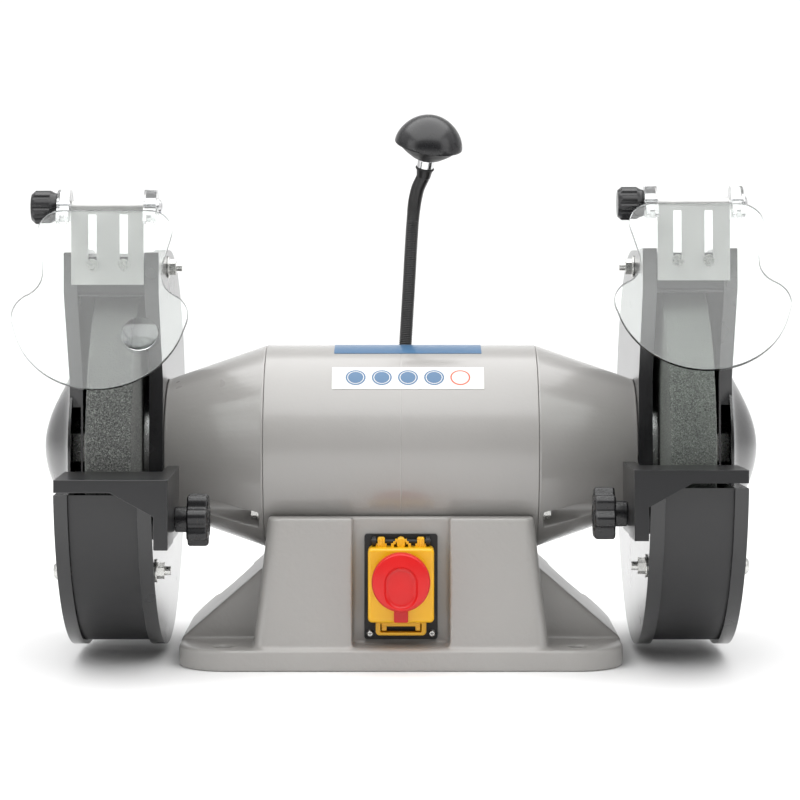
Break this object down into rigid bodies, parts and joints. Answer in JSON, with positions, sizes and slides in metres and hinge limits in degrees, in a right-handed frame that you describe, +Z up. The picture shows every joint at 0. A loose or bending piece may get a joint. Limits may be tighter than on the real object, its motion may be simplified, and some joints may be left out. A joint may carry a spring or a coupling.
{
  "type": "bench grinder",
  "caption": "Bench grinder with guarded abrasive wheels, sliding tool rests, tilting clear eye shields, a lidded stop switch and a flexible work lamp.",
  "frame": {"origin": "on the bench, at the centre of the four bench bolts, under the middle of the motor", "axes": "+X to the operator's right along the spindle, +Y to the back, +Z up"},
  "size_m": [0.5334, 0.3333, 0.3959],
  "materials": {
    "grey_cast_paint": "light grey paint on a cast surface",
    "grey_paint": "light grey semi-gloss paint",
    "black_paint": "black satin paint",
    "zinc_steel": "bright zinc plate",
    "bearing_steel": "ground and polished steel",
    "bracket_steel": "satin sheet steel",
    "laminations": "stacked electrical steel",
    "copper": "varnished copper wire",
    "aluminium": "plain aluminium",
    "black_plastic": "black moulded plastic",
    "white_plastic": "off-white moulded plastic",
    "yellow_plastic": "yellow moulded plastic",
    "red_plastic": "red moulded plastic",
    "green_plastic": "green moulded plastic",
    "label_print": "printed film label",
    "coarse_abrasive": "coarse bonded abrasive",
    "fine_abrasive": "fine bonded abrasive",
    "blotter_paper": "compressible paper washer",
    "neck_rubber": "black sleeve over a steel spiral",
    "lamp_black": "glossy black plastic, smoked lens",
    "clear_plastic": "clear polycarbonate"
  },
  "bodies": {
    "machine": {"base_casting": "grey_cast_paint", "base_cover_plate": "zinc_steel", "panel_screws": "zinc_steel", "cable_gland": "black_plastic", "capacitor": "aluminium", "capacitor_clamp": "zinc_steel", "terminal_block": "white_plastic", "motor_housing": "grey_paint", "end_bell_left": "grey_paint", "end_bell_right": "grey_paint", "motor_bolts": "zinc_steel", "stator_core": "laminations", "stator_windings": "copper", "bearing_outer_rings": "bearing_steel", "wave_spring": "zinc_steel", "housing_labels": "label_print", "guard_inner_left": "black_paint", "guard_inner_right": "black_paint", "guard_band_left": "black_paint", "guard_band_right": "black_paint", "guard_cover_left": "black_paint", "guard_cover_right": "black_paint", "guard_bolts": "zinc_steel", "guard_screws": "zinc_steel", "port_cap": "black_plastic", "switch_plate": "black_plastic", "switch_block": "black_plastic", "lid_hinge_pin": "bearing_steel", "lamp_socket": "neck_rubber"},
    "spindle": {"spindle_shaft": "bearing_steel", "rotor": "aluminium", "bearing_inner_rings": "bearing_steel", "grinding_wheel_left": "coarse_abrasive", "grinding_wheel_right": "fine_abrasive", "wheel_flanges": "zinc_steel", "wheel_blotters": "blotter_paper", "spindle_nuts": "zinc_steel"},
    "ball_set": {"bearing_balls": "bearing_steel"},
    "lid": {"switch_lid": "yellow_plastic"},
    "mushroom": {"stop_mushroom": "red_plastic"},
    "start_key": {"start_button": "green_plastic"},
    "stop_key": {"stop_button": "red_plastic"},
    "neck_mid": {"neck_middle": "neck_rubber"},
    "neck_top": {"neck_upper": "neck_rubber"},
    "lamp": {"lamp_head": "lamp_black"},
    "rest_left": {"tool_rest_left": "black_paint"},
    "rest_clamp_left": {"rest_knob_left": "black_plastic"},
    "bracket_left": {"shield_bracket_left": "bracket_steel", "shield_rod_left": "bearing_steel"},
    "shield_clamp_left": {"shield_knob_left": "black_plastic"},
    "shield_left": {"shield_knuckles_left": "clear_plastic", "eye_shield_left": "clear_plastic", "magnifier_lens": "clear_plastic"},
    "rest_right": {"tool_rest_right": "black_paint"},
    "rest_clamp_right": {"rest_knob_right": "black_plastic"},
    "bracket_right": {"shield_bracket_right": "bracket_steel", "shield_rod_right": "bearing_steel"},
    "shield_clamp_right": {"shield_knob_right": "black_plastic"},
    "shield_right": {"shield_knuckles_right": "clear_plastic", "eye_shield_right": "clear_plastic"}
  },
  "joints": [
    {"name": "spindle_spin", "type": "hinge", "parent": "machine", "child": "spindle", "pos_m": [0, 0, 0.151], "axis": [1, 0, 0], "continuous": true},
    {"name": "ball_orbit", "type": "hinge", "parent": "machine", "child": "ball_set", "pos_m": [0, 0, 0.151], "axis": [1, 0, 0], "continuous": true},
    {"name": "rest_slide_left", "type": "slide", "parent": "machine", "child": "rest_left", "axis": [0, -1, 0], "range_m": [0, 0.02]},
    {"name": "rest_knob_turn_left", "type": "hinge", "parent": "machine", "child": "rest_clamp_left", "pos_m": [-0.154, -0.118, 0.11], "axis": [1, 0, 0], "range_deg": [0, 180]},
    {"name": "bracket_slide_left", "type": "slide", "parent": "machine", "child": "bracket_left", "axis": [0, 0, -1], "range_m": [0, 0.015]},
    {"name": "shield_tilt_left", "type": "hinge", "parent": "bracket_left", "child": "shield_left", "pos_m": [-0.206, -0.0826, 0.326], "axis": [-1, 0, 0], "range_deg": [-14, 100]},
    {"name": "shield_knob_turn_left", "type": "hinge", "parent": "bracket_left", "child": "shield_clamp_left", "pos_m": [-0.206, -0.0826, 0.326], "axis": [-1, 0, 0], "range_deg": [0, 180]},
    {"name": "rest_slide_right", "type": "slide", "parent": "machine", "child": "rest_right", "axis": [0, -0.9994, 0.0349], "range_m": [0, 0.02]},
    {"name": "rest_knob_turn_right", "type": "hinge", "parent": "machine", "child": "rest_clamp_right", "pos_m": [0.154, -0.11936, 0.11414], "axis": [-1, 0, 0], "range_deg": [0, 180]},
    {"name": "bracket_slide_right", "type": "slide", "parent": "machine", "child": "bracket_right", "axis": [0, -0.0349, -0.9994], "range_m": [0, 0.015]},
    {"name": "shield_tilt_right", "type": "hinge", "parent": "bracket_right", "child": "shield_right", "pos_m": [0.206, -0.07644, 0.32878], "axis": [-1, 0, 0], "range_deg": [-19, 95]},
    {"name": "shield_knob_turn_right", "type": "hinge", "parent": "bracket_right", "child": "shield_clamp_right", "pos_m": [0.206, -0.07644, 0.32878], "axis": [-1, 0, 0], "range_deg": [0, 180]},
    {"name": "lid_hinge", "type": "hinge", "parent": "machine", "child": "lid", "pos_m": [0, -0.075, 0.0895], "axis": [-1, 0, 0], "range_deg": [0, 95]},
    {"name": "mushroom_press", "type": "slide", "parent": "lid", "child": "mushroom", "axis": [0, 1, 0], "range_m": [0, 0.004], "stiffness_N_per_m": 700, "springref_m": -0.002},
    {"name": "stop_press", "type": "slide", "parent": "machine", "child": "stop_key", "axis": [0, 1, 0], "range_m": [0, 0.004], "stiffness_N_per_m": 500, "springref_m": -0.002},
    {"name": "start_press", "type": "slide", "parent": "machine", "child": "start_key", "axis": [0, 1, 0], "range_m": [0, 0.0035], "stiffness_N_per_m": 500, "springref_m": -0.002},
    {"name": "neck_bend_low", "type": "hinge", "parent": "machine", "child": "neck_mid", "pos_m": [0.0056, 0.046, 0.262], "axis": [1, 0, 0], "range_deg": [-25, 25]},
    {"name": "neck_bend_high", "type": "hinge", "parent": "neck_mid", "child": "neck_top", "pos_m": [0.0088, 0.046, 0.316], "axis": [0, 1, 0], "range_deg": [-25, 25]},
    {"name": "lamp_tilt", "type": "hinge", "parent": "neck_top", "child": "lamp", "pos_m": [0.017, 0.041, 0.3506], "axis": [1, 0, 0], "range_deg": [-15, 15]}
  ],
  "couplings": [
    {"joint": "ball_orbit", "follows": "spindle_spin", "ratio": 0.404},
    {"joint": "stop_press", "follows": "mushroom_press", "ratio": 1}
  ]
}
